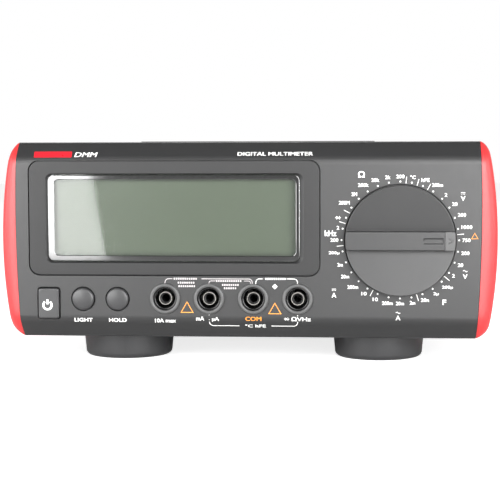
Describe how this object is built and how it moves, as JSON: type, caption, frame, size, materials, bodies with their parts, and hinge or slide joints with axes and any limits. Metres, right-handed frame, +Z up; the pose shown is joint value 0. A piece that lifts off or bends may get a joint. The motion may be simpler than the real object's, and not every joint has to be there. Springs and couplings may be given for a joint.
{
  "type": "bench multimeter",
  "caption": "Box-shaped bench meter: front panel with display, range dial, push keys and shrouded input jacks, red side cheeks, round feet, folding handle and a lidded storage well on top.",
  "frame": {"origin": "on the bench, under the middle of the meter", "axes": "+Z up, -Y out of the front panel, +X to the right seen from the front"},
  "size_m": [0.24, 0.31, 0.1075],
  "materials": {
    "bezel_plastic": "fine moulded grain",
    "surround_plastic": "smooth satin moulding",
    "window_acrylic": "clear and glossy",
    "lcd_glass": "reflective grey-green display glass",
    "case_plastic": "textured moulding",
    "cheek_red": "smooth glossy red",
    "rear_plastic": "textured moulding",
    "handle_plastic": "satin moulding",
    "grip_rubber": "soft ribbed rubber",
    "foot_rubber": "satin grey rubber",
    "button_plastic": "smooth satin moulding",
    "pointer_plastic": "lighter satin moulding",
    "jack_plastic": "glossy black moulding",
    "plated_brass": "nickel-plated brass",
    "steel": "zinc-plated steel",
    "inner_plastic": "plain black moulding",
    "rotor_plastic": "natural self-lubricating plastic",
    "cell_can": "printed jacket over a metal can",
    "backlight_plastic": "white light guide",
    "zebra_rubber": "silicone with conducting layers",
    "board_green": "green solder mask",
    "board_tan": "phenolic board",
    "ribbon_plastic": "grey ribbon insulation",
    "fuse_ceramic": "white ceramic body",
    "core_steel": "varnished laminations",
    "winding_wire": "enamelled copper under clear tape",
    "inlet_plastic": "glossy black moulding",
    "selector_plastic": "red moulding"
  },
  "bodies": {
    "case": {"front_bezel": "bezel_plastic", "display_surround": "surround_plastic", "display_window": "window_acrylic", "top_cover": "case_plastic", "bottom_case": "case_plastic", "left_cheek": "cheek_red", "right_cheek": "cheek_red", "cheek_screws": "steel", "rear_panel": "rear_plastic", "storage_tray": "case_plastic", "lid_hinge_pin": "steel", "battery_door": "case_plastic", "battery_door_screw": "steel", "battery_box": "inner_plastic", "battery_cells": "cell_can", "battery_springs": "steel", "handle_pivots": "steel", "foot_front_left": "foot_rubber", "foot_front_right": "foot_rubber", "foot_rear_left": "foot_rubber", "foot_rear_right": "foot_rubber", "foot_screws": "steel", "case_screws": "steel", "detent_ring": "rotor_plastic", "power_switch": "inner_plastic", "tact_switches": "inner_plastic", "jack_amps": "jack_plastic", "jack_milliamps": "jack_plastic", "jack_common": "jack_plastic", "jack_volts": "jack_plastic", "jack_sleeves": "plated_brass", "lcd_glass": "lcd_glass", "lcd_backlight": "backlight_plastic", "lcd_frame": "inner_plastic", "zebra_strips": "zebra_rubber", "front_board": "board_green", "main_board": "board_green", "board_screws": "steel", "board_parts": "inner_plastic", "ribbon_cable": "ribbon_plastic", "input_fuses": "fuse_ceramic", "fuse_clips": "plated_brass", "power_board": "board_tan", "transformer_core": "core_steel", "transformer_winding": "winding_wire", "mains_inlet": "inlet_plastic", "inlet_pins": "plated_brass"},
    "dial": {"rotary_knob": "bezel_plastic", "knob_pointer": "pointer_plastic", "range_rotor": "rotor_plastic", "rotor_contacts": "plated_brass", "detent_balls": "steel"},
    "power_key": {"power_button": "button_plastic"},
    "light_key": {"light_button": "button_plastic"},
    "hold_key": {"hold_button": "button_plastic"},
    "lid": {"storage_lid": "case_plastic"},
    "handle": {"carry_handle": "handle_plastic", "handle_grip": "grip_rubber"},
    "selector": {"voltage_selector": "selector_plastic"}
  },
  "joints": [
    {"name": "dial_turn", "type": "hinge", "parent": "case", "child": "dial", "pos_m": [0.0735, -0.146, 0.06], "axis": [0, 1, 0], "continuous": true},
    {"name": "power_press", "type": "slide", "parent": "case", "child": "power_key", "axis": [0, 1, 0], "range_m": [0, 0.0025], "stiffness_N_per_m": 500, "springref_m": -0.002},
    {"name": "light_press", "type": "slide", "parent": "case", "child": "light_key", "axis": [0, 1, 0], "range_m": [0, 0.0012], "stiffness_N_per_m": 600, "springref_m": -0.001},
    {"name": "hold_press", "type": "slide", "parent": "case", "child": "hold_key", "axis": [0, 1, 0], "range_m": [0, 0.0012], "stiffness_N_per_m": 600, "springref_m": -0.001},
    {"name": "lid_open", "type": "hinge", "parent": "case", "child": "lid", "pos_m": [0, 0.076, 0.1052], "axis": [-1, 0, 0], "range_deg": [0, 105]},
    {"name": "handle_lift", "type": "hinge", "parent": "case", "child": "handle", "pos_m": [0, -0.02, 0.10305], "axis": [-1, 0, 0], "range_deg": [0, 90]},
    {"name": "selector_slide", "type": "slide", "parent": "case", "child": "selector", "axis": [0, 0, 1], "range_m": [0, 0.005]}
  ]
}
